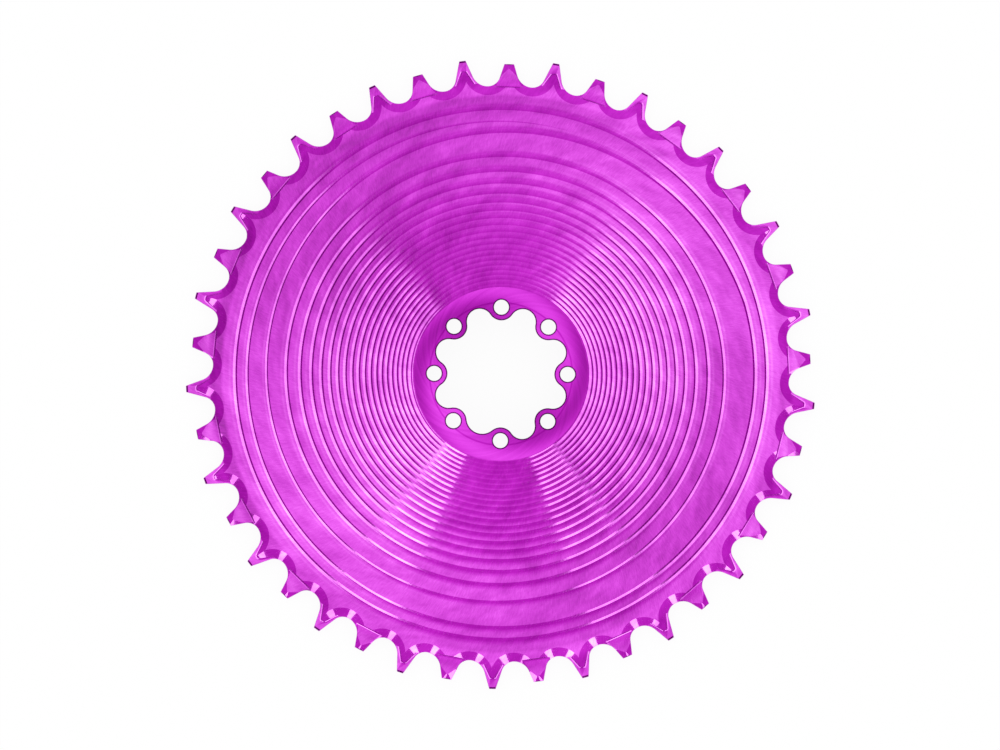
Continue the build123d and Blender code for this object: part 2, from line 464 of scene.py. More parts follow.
@dataclass
class SpiralDish:
    """The dish's front, where a round-cornered cutter left a spiral of terraces.

    The riser starts steeply and then climbs one step a turn. Each run-in slope is a pair of the steps that it
    climbs in a turn and the steps that it would already have climbed at the start.
    """

    blank: Blank
    origin_radius: float = 73.25
    origin_azimuth: float = 0.45
    turns: float = 19.93
    corner_run: float = 2.2
    corner_rows: int = 6
    edge_run: float = 0.42
    edge_share: float = 0.48
    first_slope: float = 4.0
    run_in_slopes: tuple[tuple[float, float], ...] = ((0.9, 0.2), (0.55, 0.55))
    least_rise: float = 0.0005
    least_run: float = 0.001
    crest_snap: float = 0.006

    @property
    def rows(self) -> int:
        """The points across the spiral: the band's edge, the lip before, the hollow corner and the lip."""
        return self.corner_rows + 4

    @property
    def fall(self) -> float:
        """How far the spiral's radius falls over its first turn."""
        return (self.origin_radius - self.blank.crest_radius) / math.sqrt(self.turns)

    @property
    def turn_lead(self) -> float:
        """The turns from the spiral's origin to where its riser leaves the band's circle."""
        return ((self.origin_radius - self.blank.band_radius) / self.fall) ** 2

    @property
    def start_azimuth(self) -> float:
        """The azimuth at which the riser leaves the band's circle."""
        return self.origin_azimuth + 360.0 * self.turn_lead

    @property
    def foot_columns(self) -> int:
        """The columns over which the riser's foot still stands on the band."""
        whole_run = self.corner_run + self.edge_run
        clear = ((self.origin_radius - self.blank.band_radius + whole_run) / self.fall) ** 2
        return round((clear - self.turn_lead) * self.blank.columns)

    def build(self, finish: bpy.types.Material) -> bpy.types.Object:
        """Builds the spiral and the band round it.

        Args:
            finish: The material of the surface.

        Returns:
            The open surface, whose edges are the band's outer circle and the hub's crest.
        """
        blank = self.blank
        first_column = self.foot_columns - blank.columns
        step_count = (blank.plateau_z - blank.band_z) / blank.step_height
        last_column = math.ceil(step_count * blank.columns)
        rows = self.rows
        recipe = GeometryRecipe(
            "Spiral terraces",
            {
                "Step height": blank.step_height,
                "Corner run": self.corner_run,
                "Edge run": self.edge_run,
                "Edge share": self.edge_share,
                "Origin radius": self.origin_radius,
                "Fall": self.fall,
                "Turn lead": self.turn_lead,
                "Band radius": blank.band_radius,
                "Band outer radius": blank.rim_flat_radius,
                "Crest radius": blank.crest_radius,
                "Band height": blank.band_z,
                "Crest height": blank.plateau_z,
                "Start azimuth": math.radians(self.start_azimuth),
            },
        )
        grid = recipe.node("GeometryNodeMeshGrid")
        grid.inputs["Vertices X"].default_value = last_column - first_column + 1
        grid.inputs["Vertices Y"].default_value = rows
        index = Field(recipe.tree, recipe.node("GeometryNodeInputIndex").outputs[0])
        column = (index / rows + 0.5 / rows).floor()
        row = index - column * rows
        turn = (column + first_column) / blank.columns
        spot = self.spot(recipe, turn, row)
        placed = recipe.node("GeometryNodeSetPosition", Geometry=grid.outputs["Mesh"], Position=spot)
        face_column = (index / (rows - 1) + 0.5 / rows).floor()
        face_row = index - face_column * (rows - 1)
        spare = (face_row < 0.5) * (face_column > blank.columns - 0.5)
        kept = recipe.tree.nodes.new("GeometryNodeDeleteGeometry")
        kept.domain = "FACE"
        recipe.tree.links.new(placed.outputs["Geometry"], kept.inputs["Geometry"])
        recipe.tree.links.new(spare.socket, kept.inputs["Selection"])
        left = kept.outputs["Geometry"]
        joined = recipe.node("GeometryNodeMergeByDistance", Geometry=left, Distance=CLOSE)
        made = make_object("spiral", bpy.data.meshes.new("spiral"))
        recipe.run(made, joined.outputs["Geometry"], finish)
        return made

    def spot(self, recipe: GeometryRecipe, turn: Field, row: Field) -> bpy.types.NodeSocket:
        """Works out where a point of the spiral grid goes.

        Args:
            recipe: The tree that gets the formula.
            turn: Turns since the riser left the band's circle.
            row: 0 on the band's outer circle, 1 on the lip before, then up the riser to its lip.

        Returns:
            The place as a vector socket.
        """
        step = recipe.size("Step height")
        corner_run = recipe.size("Corner run")
        edge_share = recipe.size("Edge share")
        band_radius = recipe.size("Band radius")
        crest_radius = recipe.size("Crest radius")
        crest = recipe.size("Crest height")
        clear_turn = (self.foot_columns + 0.5) / self.blank.columns
        settled_turn = self.foot_columns / self.blank.columns
        settled = turn > settled_turn - 0.5 / self.blank.columns
        top = (crest - recipe.size("Band height")) / step

        def climb(turns: Field) -> Field:
            """Works out how far the terrace has climbed.

            Args:
                turns: Turns since the riser left the band's circle.

            Returns:
                The climb in steps.
            """
            steps = turns
            for slope, lift in self.run_in_slopes:
                steps = steps.at_least(turns * slope + lift)
            return steps.at_most((turns - settled_turn) * self.first_slope).at_least(0.0).at_most(top)

        def lip_radius(turns: Field) -> Field:
            """Works out the radius of the terrace's lip.

            Args:
                turns: Turns since the riser left the band's circle.

            Returns:
                The radius, from the crest's to the band's.
            """
            wound = (turns + recipe.size("Turn lead")).at_least(0.0).root()
            radius = recipe.size("Origin radius") - recipe.size("Fall") * wound
            return radius.at_most(band_radius).at_least(crest_radius)

        rise = climb(turn + 1.0) - climb(turn)
        edge_run = recipe.size("Edge run") * rise.at_most(1.0)
        room = lip_radius(turn - 1.0) - lip_radius(turn) - edge_run
        room = room + (1.0 - settled) * (corner_run + edge_run)
        full_run = corner_run * rise.at_most(1.0).at_least(self.least_rise)
        run = room.at_most(full_run).at_least(self.least_run)
        begin = full_run - run
        share = ((row - 2.0) / self.corner_rows).clamped()
        on_lip = row > self.rows - 1.5
        here = begin + run * share
        risen = (here * here * here - begin * begin * begin) / (full_run * full_run * full_run)
        risen = (risen * (1.0 - edge_share)).mixed(1.0, on_lip)
        on_corner = lip_radius(turn) + edge_run * (1.0 - on_lip) + run * (1.0 - share)
        on_corner = on_corner.mixed(on_corner.at_most(band_radius), settled)
        before = on_corner.mixed(lip_radius(turn - 1.0), settled)
        radius = on_corner.mixed(before, row < 1.5)
        radius = radius.mixed(recipe.size("Band outer radius"), (row < 0.5) * (turn < clear_turn))
        radius = radius.at_least(crest_radius)
        height = recipe.size("Band height") + step * (climb(turn) + rise * risen)
        at_crest = height > crest - self.crest_snap
        height = height.mixed(crest, at_crest)
        radius = radius.mixed(crest_radius, at_crest)
        azimuth = recipe.size("Start azimuth") + turn * (2 * math.pi)
        east = radius * azimuth.cosine()
        north = radius * azimuth.sine()
        return recipe.node("ShaderNodeCombineXYZ", X=east, Y=north, Z=height).outputs["Vector"]


@dataclass
class ToothRing:
    """The ring of teeth, alternately wide and narrow, milled from both faces."""

    blank: Blank
    start_azimuth: float
    root_depth: float = 3.92
    wide_tip_height: float = 3.75
    narrow_tip_height: float = 2.25
    tooth_width: float = 4.14
    flank_angle: float = 17.4
    gullet_skew: float = 0.35
    relief: float = 1.0
    chamfer_seat: float = 4.2
    chamfer_reach: float = 6.75
    chamfer_rise: float = 0.3
    chamfer_lag: float = 0.25
    chord_depth: float = 4.35
    chord_width: float = 7.9
    crown_apex_height: float = 1.0
    crown_knee_depth: float = 0.95
    crown_knee_width: float = 4.2
    crown_foot_width: float = 8.4
    crown_bevel_angle: float = 22.0
    crown_apex_corner: float = 0.5
    crown_knee_corner: float = 1.2
    wedge_apex_height: float = 0.6
    wedge_apex_width: float = 0.9
    wedge_leg_angle: float = 27.0
    wedge_run_out_depth: float = 3.1
    wedge_apex_corner: float = 0.35
    wedge_corner: float = 0.35
    wedge_corner_steps: int = 7
    wedge_foot_run: float = 0.24
    wedge_foot_angle: float = 10.0
    cutter_corner: float = 0.55
    cutter_corner_steps: int = 9
    outline_corner_steps: int = 6
    edge_break: float = 0.1
    wall_limit: float = 0.1
    face_limit: float = 0.6
    seam_clearance: float = 0.5
    tip_chamfer_width: float = 0.55
    tip_chamfer_depth: float = 0.46
    narrow_chamfer_width: float = 0.45
    trim_steps: int = 8
    circle_step: float = 5.0
    overrun: float = 1.0
    sliver: float = 0.01

    @property
    def outside(self) -> float:
        """A radius beyond every tooth."""
        return self.blank.pitch_radius + self.wide_tip_height + self.overrun

    @property
    def seam_azimuth(self) -> float:
        """The azimuth of the seam between two pairs, on the column nearest a gullet's bottom."""
        step = self.blank.column_angle
        gullet = self.blank.first_wide_azimuth - self.blank.tooth_angle / 2
        return self.start_azimuth + step * round((gullet - self.start_azimuth) / step)

    @property
    def crown_depth(self) -> float:
        """How deep a narrow tooth's crown lies below the rim's face where the tip's chamfer starts."""
        run = self.narrow_tip_height - self.narrow_chamfer_width - self.crown_apex_height
        return self.relief + run * math.tan(math.radians(self.crown_bevel_angle))

    def face_z(self, side: Side, depth: float) -> float:
        """The height of a level that lies a depth below one of the rim's faces."""
        top = self.blank.rim_front_z if side is Side.FRONT else self.blank.rim_back_z
        return top - side.value * depth

    def through(self, name: str, outline: Outline) -> bpy.types.Object:
        """Makes a cutter that goes through both faces of the rim.

        Args:
            name: The object's name.
            outline: What it cuts out.

        Returns:
            The cutter.
        """
        low = self.face_z(Side.BACK, -self.overrun)
        high = self.face_z(Side.FRONT, -self.overrun)
        return stack(name, [at_height(outline, low), at_height(outline, high)])

    def layered(self, name: str, side: Side, layers: Sequence[tuple[Outline, float]]) -> bpy.types.Object:
        """Makes a cutter from outlines at depths below one face.

        Args:
            name: The object's name.
            side: The face that the cutter works on.
            layers: Outlines with their depths, from the deepest to the shallowest.

        Returns:
            The cutter.
        """
        loops = [at_height(outline, self.face_z(side, depth)) for outline, depth in layers]
        return stack(name, loops)

    def gullet(self) -> Outline:
        """Draws the gap between two teeth, with its middle on +X.

        Each half is an arc from the gap's lowest point to a straight flank that it touches.

        Returns:
            The outline.
        """
        pitch_radius = self.blank.pitch_radius
        lowest = Vector((pitch_radius - self.root_depth, -self.gullet_skew, 0.0))
        slope = math.radians(self.flank_angle)
        reach = self.outside / pitch_radius * self.tooth_width
        halves = []
        for side in (-1, 1):
            start = Vector((pitch_radius, -side * self.tooth_width / 2, 0.0))
            normal = Vector((math.sin(slope), -side * math.cos(slope), 0.0))
            point, outward = turned([start, normal], side * self.blank.tooth_angle / 2)
            radius = outward.dot(lowest - point) / (1 - outward.x)
            centre = lowest + Vector((radius, 0.0, 0.0))
            upward = Vector((side * outward.y, -side * outward.x, 0.0))
            upward = upward if upward.x > 0 else -upward
            end = bearing(-outward) % 360
            halves.append([*arc(centre, radius, 180.0, end), point + upward * 2 * reach])
        low_half, high_half = halves
        return [*reversed(low_half[1:]), *high_half][::-1]

    def gullet_chamfer(self, side: Side) -> bpy.types.Object:
        """Makes a cone about a roller, which chamfers a gullet's edge on one face.

        Args:
            side: The face that the cone works on.

        Returns:
            The cutter.
        """
        slope = (self.chamfer_reach - self.chamfer_seat) / self.relief
        grown = self.chamfer_reach + self.overrun * slope
        centre = Vector((self.blank.pitch_radius + self.chamfer_rise, 0.0, 0.0))
        seat = arc(centre, self.chamfer_seat, 0.0, 360.0, self.circle_step)[:-1]
        reach = arc(centre, grown, 0.0, 360.0, self.circle_step)[:-1]
        return self.layered("gullet_chamfer", side, [(seat, self.relief), (reach, -self.overrun)])

    def rounded(self, corners: Sequence[tuple[Vector, float]], spread: float) -> Outline:
        """Rounds the corners of a convex outline and spreads it outwards.

        Args:
            corners: Corners that run anticlockwise, each with its radius.
            spread: How far the outline moves outwards.

        Returns:
            The outline, with as many points for every spread.
        """
        points = []
        for index, (corner, radius) in enumerate(corners):
            before = (corner - corners[index - 1][0]).normalized()
            after = (corners[(index + 1) % len(corners)][0] - corner).normalized()
            start = math.degrees(math.atan2(-before.x, before.y))
            swing = -math.degrees(before.xy.angle_signed(after.xy))
            half = math.radians(swing / 2)
            centre = corner - polar(1.0, start + swing / 2) * (radius / math.cos(half))
            if radius > 0:
                steps = self.outline_corner_steps
                grown = radius + spread
                shares = [step / steps for step in range(steps + 1)]
            else:
                grown = spread / math.cos(half)
                shares = [0.5]
            points += [centre + polar(grown, start + swing * share) for share in shares]
        return points

    def hollow_corner(self, corner: float, first: float, steps: int) -> Profile:
        """Walks up the hollow corner that a round-cornered cutter leaves at a wall.

        Args:
            corner: The cutter's corner radius.
            first: The slope at which the walk starts, in degrees.
            steps: The steps from there to the upright wall.

        Returns:
            How far each point stands from the wall, and how high above the cutter's floor.
        """
        points = []
        for index in range(steps + 1):
            angle = math.radians(first + (90.0 - first) * index / steps)
            points.append((corner * (1 - math.sin(angle)), corner * (1 - math.cos(angle))))
        return points

    def narrow_flat(self, side: Side) -> bpy.types.Object:
        """Makes the cutter for a narrow tooth's face, which leaves a bevelled crown behind a straight chord.

        Args:
            side: The face that the cutter works on.

        Returns:
            The cutter.
        """
        chord = self.blank.pitch_radius - self.chord_depth
        wall = [(self.cutter_corner, self.relief + self.overrun)]
        for run, rise in self.hollow_corner(self.cutter_corner, 0.0, self.cutter_corner_steps):
            wall.append((run, self.relief - rise))
        wall.append((0.0, -self.overrun))
        layers = [(self.box(chord + run, self.chord_width / 2), depth) for run, depth in wall]
        cutter = self.layered("narrow_flat", side, layers)
        foot = chord - self.overrun
        knee = self.blank.pitch_radius - self.crown_knee_depth
        apex = self.blank.pitch_radius + self.crown_apex_height
        corners = [
            (Vector((foot, -self.crown_foot_width / 2, 0.0)), 0.0),
            (Vector((knee, -self.crown_knee_width / 2, 0.0)), self.crown_knee_corner),
            (Vector((apex, 0.0, 0.0)), self.crown_apex_corner),
            (Vector((knee, self.crown_knee_width / 2, 0.0)), self.crown_knee_corner),
            (Vector((foot, self.crown_foot_width / 2, 0.0)), 0.0),
        ]
        spread = 2 * self.overrun / math.tan(math.radians(self.crown_bevel_angle))
        layers = [
            (self.rounded(corners, spread), self.relief + 2 * self.overrun),
            (self.rounded(corners, 0.0), self.relief),
        ]
        return carve(cutter, [self.layered("crown", side, layers)])

    def box(self, near: float, half_width: float) -> Outline:
        """Draws a rectangle that lies across +X, from a radius outwards.

        Args:
            near: The radius at which it starts.
            half_width: How far it reaches to each side.

        Returns:
            The outline.
        """
        return [
            Vector((near, -half_width, 0.0)),
            Vector((self.outside, -half_width, 0.0)),
            Vector((self.outside, half_width, 0.0)),
            Vector((near, half_width, 0.0)),
        ]

    def wide_flat(self, side: Side) -> bpy.types.Object:
        """Makes the cutter for a wide tooth's face, which goes round a raised wedge.

        The wedge's wall stands on a hollow corner, and that on a shallow foot.

        Args:
            side: The face that the cutter works on.

        Returns:
            The cutter.
        """
        apex = self.blank.pitch_radius + self.wedge_apex_height
        run_out = self.blank.pitch_radius - self.wedge_run_out_depth
        leg = math.tan(math.radians(self.wedge_leg_angle))
        foot = run_out - 2 * self.overrun
        foot_half = self.wedge_apex_width / 2 + (apex - foot) * leg
        area = self.box(run_out, self.wedge_apex_width + 2 * (apex - run_out) * leg)
        cutter = self.layered("wide_flat", side, [(area, self.relief), (area, -self.overrun)])
        corners = [
            (Vector((foot, -foot_half, 0.0)), 0.0),
            (Vector((apex, -self.wedge_apex_width / 2, 0.0)), self.wedge_apex_corner),
            (Vector((apex, self.wedge_apex_width / 2, 0.0)), self.wedge_apex_corner),
            (Vector((foot, foot_half, 0.0)), 0.0),
        ]
        hollow = self.hollow_corner(self.wedge_corner, self.wedge_foot_angle, self.wedge_corner_steps)
        first_run, first_rise = hollow[0]
        foot_run = first_run + self.wedge_foot_run
        lift = self.wedge_foot_run * math.tan(math.radians(self.wedge_foot_angle)) - first_rise
        wall = [(foot_run, self.relief + self.overrun), (foot_run, self.relief)]
        wall += [(run, self.relief - rise - lift) for run, rise in hollow]
        wall.append((0.0, -2 * self.overrun))
        layers = [(self.rounded(corners, run), depth) for run, depth in wall]
        return carve(cutter, [self.layered("wedge", side, layers)])

    def tip_chamfer(self, side: Side, start_height: float, start_depth: float) -> bpy.types.Object:
        """Makes the cutter that breaks the edge of a tooth's tip on one face.

        Args:
            side: The face that the cutter works on.
            start_height: Where the chamfer starts, above the pitch circle.
            start_depth: How deep the tooth's face lies there, below the rim's.

        Returns:
            The cutter.
        """
        slope = self.tip_chamfer_depth / self.tip_chamfer_width
        near = self.blank.pitch_radius + start_height
        deep = start_depth + slope * (self.outside - near)
        layers = [
            (self.box(self.outside - self.sliver, self.tooth_width), deep),
            (self.box(near - start_depth / slope, self.tooth_width), 0.0),
        ]
        return self.layered("tip_chamfer", side, layers)

    def narrow_trim(self) -> bpy.types.Object:
        """Makes the cutter that shortens a narrow tooth.

        Returns:
            The cutter.
        """
        half = self.blank.tooth_angle / 2
        short = self.blank.pitch_radius + self.narrow_tip_height
        steps = range(-self.trim_steps, self.trim_steps + 1)
        tip = [polar(short, half * index / self.trim_steps) for index in steps]
        corners = [polar(self.outside, -half), polar(self.outside, half)]
        return self.through("narrow_trim", [*corners, *reversed(tip)])

    def place(self, cutter: bpy.types.Object, azimuth: float) -> bpy.types.Object:
        """Turns a cutter's mesh round the ring's axis."""
        cutter.data.transform(Matrix.Rotation(math.radians(azimuth), 4, "Z"))
        return cutter

    def cutters(self) -> list[bpy.types.Object]:
        """Makes the cutters for a pair of teeth and puts them in their places.

        Returns:
            The cutters.
        """
        wide = self.blank.first_wide_azimuth
        narrow = wide + self.blank.tooth_angle
        gullets = [wide + self.blank.tooth_angle * offset for offset in (-0.5, 0.5, 1.5)]
        wide_start = self.wide_tip_height - self.tip_chamfer_width
        narrow_start = self.narrow_tip_height - self.narrow_chamfer_width
        cutters = [self.place(self.through("gullet", self.gullet()), azimuth) for azimuth in gullets]
        cutters.append(self.place(self.narrow_trim(), narrow))
        for side in Side:
            for azimuth in gullets:
                cutters.append(self.place(self.gullet_chamfer(side), azimuth - self.chamfer_lag))
            cutters.append(self.place(self.narrow_flat(side), narrow))
            cutters.append(self.place(self.wide_flat(side), wide))
            cutters.append(self.place(self.tip_chamfer(side, wide_start, self.relief), wide))
            cutters.append(self.place(self.tip_chamfer(side, narrow_start, self.crown_depth), narrow))
        return cutters

    def pair(self) -> bpy.types.Object:
        """Mills one wide and one narrow tooth from a block that reaches a column past each seam.

        Returns:
            The pair's open skin, without the faces that would meet the disc and the next pairs.
        """
        blank = self.blank
        step = blank.column_angle
        count = blank.columns_per_pair
        seam = self.seam_azimuth
        tip = blank.pitch_radius + self.wide_tip_height
        inner = [polar(blank.seam_radius, seam + step * index) for index in range(-1, count + 2)]
        outer = [polar(tip, seam + step / 2 * index) for index in range(-2, 2 * count + 3)]
        outline = [*reversed(inner), *outer]
        faces = (blank.rim_back_z, blank.rim_front_z)
        pair = stack("tooth_pair", [at_height(outline, height) for height in faces])
        carve(pair, self.cutters())
        self.break_edges(pair)
        self.open_seams(pair, seam, seam + 2 * blank.tooth_angle)
        return pair

    def is_outer_edge(self, edge: bmesh.types.BMEdge) -> bool:
        """Tells whether an edge lies between a wall through the rim's middle and a face of the tooth.

        Args:
            edge: An edge of the milled pair.

        Returns:
            True if it does and is clear of the seam with the disc.
        """
        inner = min(corner.co.xy.length for corner in edge.verts)
        if len(edge.link_faces) != 2 or inner < self.blank.seam_radius + self.seam_clearance:
            return False
        wall, top = sorted(edge.link_faces, key=lambda face: abs(face.normal.z))
        heights = [corner.co.z for corner in wall.verts]
        through = min(heights) < self.blank.rim_middle_z < max(heights)
        return through and abs(wall.normal.z) < self.wall_limit and abs(top.normal.z) > self.face_limit

    def break_edges(self, pair: bpy.types.Object) -> None:
        """Breaks the sharp edges where the pair's outline meets its faces.

        Args:
            pair: The milled pair, still a closed solid.
        """
        shape = bmesh.new()
        shape.from_mesh(pair.data)
        weld = self.edge_break / 4
        bmesh.ops.remove_doubles(shape, verts=shape.verts, dist=weld)
        bmesh.ops.dissolve_degenerate(shape, edges=shape.edges, dist=weld)
        edges = [edge for edge in shape.edges if self.is_outer_edge(edge)]
        bmesh.ops.bevel(
            shape,
            geom=edges,
            offset=self.edge_break,
            offset_type="OFFSET",
            segments=1,
            profile=0.5,
            affect="EDGES",
        )
        log.info("the pair of teeth has %d broken edges", len(edges))
        shape.to_mesh(pair.data)
        shape.free()

    def open_seams(self, pair: bpy.types.Object, first: float, last: float) -> None:
        """Trims the pair at its two seams and takes off its inner wall.

        Args:
            pair: The milled pair.
            first: The azimuth of its first seam.
            last: The azimuth of its last seam.
        """
        shape = bmesh.new()
        shape.from_mesh(pair.data)
        for outward in (polar(1.0, first - 90.0), polar(1.0, last + 90.0)):
            bmesh.ops.bisect_plane(
                shape,
                geom=[*shape.verts, *shape.edges, *shape.faces],
                dist=CLOSE,
                plane_co=(0.0, 0.0, 0.0),
                plane_no=outward,
                clear_outer=True,
            )
        reach = self.blank.seam_radius + MEETING / 2
        spare = [face for face in shape.faces if all(corner.co.xy.length < reach for corner in face.verts)]
        bmesh.ops.delete(shape, geom=spare, context="FACES")
        shape.to_mesh(pair.data)
        shape.free()

    def build(self, finish: bpy.types.Material) -> bpy.types.Object:
        """Repeats the pair round the ring.

        Args:
            finish: The material of the teeth.

        Returns:
            The tooth ring's open skin.
        """
        pair = self.pair()
        recipe = GeometryRecipe("Teeth round the rim", {"Pairs": self.blank.pair_count})
        points = recipe.node("GeometryNodeMeshLine")
        recipe.tree.links.new(recipe.size("Pairs").socket, points.inputs["Count"])
        points.inputs["Offset"].default_value = (0.0, 0.0, 0.0)
        index = Field(recipe.tree, recipe.node("GeometryNodeInputIndex").outputs[0])
        turn = recipe.node("ShaderNodeCombineXYZ", Z=index * (2 * math.pi) / recipe.size("Pairs"))
        ring = recipe.node(
            "GeometryNodeInstanceOnPoints",
            Points=points.outputs["Mesh"],
            Instance=recipe.start.outputs["Geometry"],
            Rotation=turn.outputs["Vector"],
        )
        real = recipe.node("GeometryNodeRealizeInstances", Geometry=ring.outputs["Instances"])
        teeth = real.outputs["Geometry"]
        joined = recipe.node("GeometryNodeMergeByDistance", Geometry=teeth, Distance=MEETING)
        recipe.run(pair, joined.outputs["Geometry"], finish)
        return pair


@dataclass
class Hub:
    """The hub's two faces, its bolt holes and the scalloped opening."""

    blank: Blank
    start_azimuth: float
    recess_radius: float = 19.8
    recess_wall_run: float = 0.45
    thickness: float = 3.0
    bolt_count: int = 8
    bolt_circle_radius: float = 18.75
    bolt_hole_radius: float = 2.1
    nose_radius: float = 3.72
    relief_radius: float = 19.45
    key_relief_radius: float = 17.9
    key_relief_index: int = 5
    edge_break: float = 0.34
    edge_depth: float = 0.29
    nose_step: float = 8.0
    hollow_step: float = 6.0
    hole_step: float = 7.5
    overrun: float = 1.0

    def hollow(self, index: int) -> float:
        """The radius to which the hollow after a bolt hole reaches out."""
        return self.key_relief_radius if index == self.key_relief_index else self.relief_radius

    def opening(self, spread: float) -> Outline:
        """Draws the scalloped opening.

        Args:
            spread: How far the outline moves into the hub.

        Returns:
            The outline, with as many points for every spread.
        """
        angle = 360.0 / self.bolt_count
        corner = self.nose_radius - spread
        points = []
        for index in range(self.bolt_count):
            nose = polar(self.bolt_circle_radius, index * angle)
            following = polar(self.bolt_circle_radius, (index + 1) * angle)
            radius = self.hollow(index)
            reach = radius + self.nose_radius
            middle_radius = (reach**2 - self.bolt_circle_radius**2) / 2
            middle_radius /= reach - self.bolt_circle_radius * math.cos(math.radians(angle / 2))
            middle = polar(middle_radius, (index + 0.5) * angle)
            hollow = radius - middle_radius + spread
            points += self.sweep(nose, corner, -nose, middle - nose, self.nose_step)
            points += self.sweep(middle, hollow, nose - middle, following - middle, self.hollow_step)[1:-1]
            points += self.sweep(following, corner, middle - following, -following, self.nose_step)[:-1]
        return points

    def sweep(self, centre: Vector, radius: float, start: Vector, end: Vector, step: float) -> Outline:
        """Walks along an arc from one direction to another, the shorter way round.

        Args:
            centre: The arc's centre.
            radius: Its radius.
            start: The direction of its first point.
            end: The direction of its last point.
            step: Largest angle between two points, in degrees.

        Returns:
            The points with both ends.
        """
        first = bearing(start)
        return arc(centre, radius, first, first - math.degrees(start.xy.angle_signed(end.xy)), step)

    def cutters(self) -> list[bpy.types.Object]:
        """Makes the cutters for the opening and the bolt holes, which also break their edges.

        Returns:
            The cutters.
        """
        low, high = -self.thickness, self.blank.plateau_z
        edge, deep = self.edge_break, self.edge_depth
        levels = [
            (edge + edge / deep * self.overrun, low - self.overrun),
            (0.0, low + deep),
            (0.0, -deep),
            (edge, 0.0),
            (edge, high + self.overrun),
        ]
        cutters = [stack("opening", [at_height(self.opening(spread), height) for spread, height in levels])]
        for index in range(self.bolt_count):
            centre = polar(self.bolt_circle_radius, index * 360.0 / self.bolt_count)
            hole = []
            for spread, height in levels:
                circle = arc(centre, self.bolt_hole_radius + spread, 0.0, 360.0, self.hole_step)[:-1]
                hole.append(at_height(circle, height))
            cutters.append(stack("bolt_hole", hole))
        return cutters

    def build(self, finish: bpy.types.Material) -> bpy.types.Object:
        """Builds the hub inside the dish's crest.

        Args:
            finish: The material of the hub.

        Returns:
            The hub's open skin, without its outer wall.
        """
        blank = self.blank
        azimuths = [self.start_azimuth + blank.column_angle * index for index in range(blank.columns)]
        rings = [
            (blank.crest_radius, -self.thickness),
            (blank.crest_radius, blank.plateau_z),
            (self.recess_radius + self.recess_wall_run, blank.plateau_z),
            (self.recess_radius, 0.0),
        ]
        loops = [[polar(radius, azimuth, height) for azimuth in azimuths] for radius, height in rings]
        hub = carve(stack("hub", loops), self.cutters())
        shape = bmesh.new()
        shape.from_mesh(hub.data)
        wall = blank.crest_radius - MEETING / 2
        spare = [face for face in shape.faces if all(corner.co.xy.length > wall for corner in face.verts)]
        bmesh.ops.delete(shape, geom=spare, context="FACES")
        shape.to_mesh(hub.data)
        shape.free()
        hub.data.materials.clear()
        hub.data.materials.append(finish)
        return hub


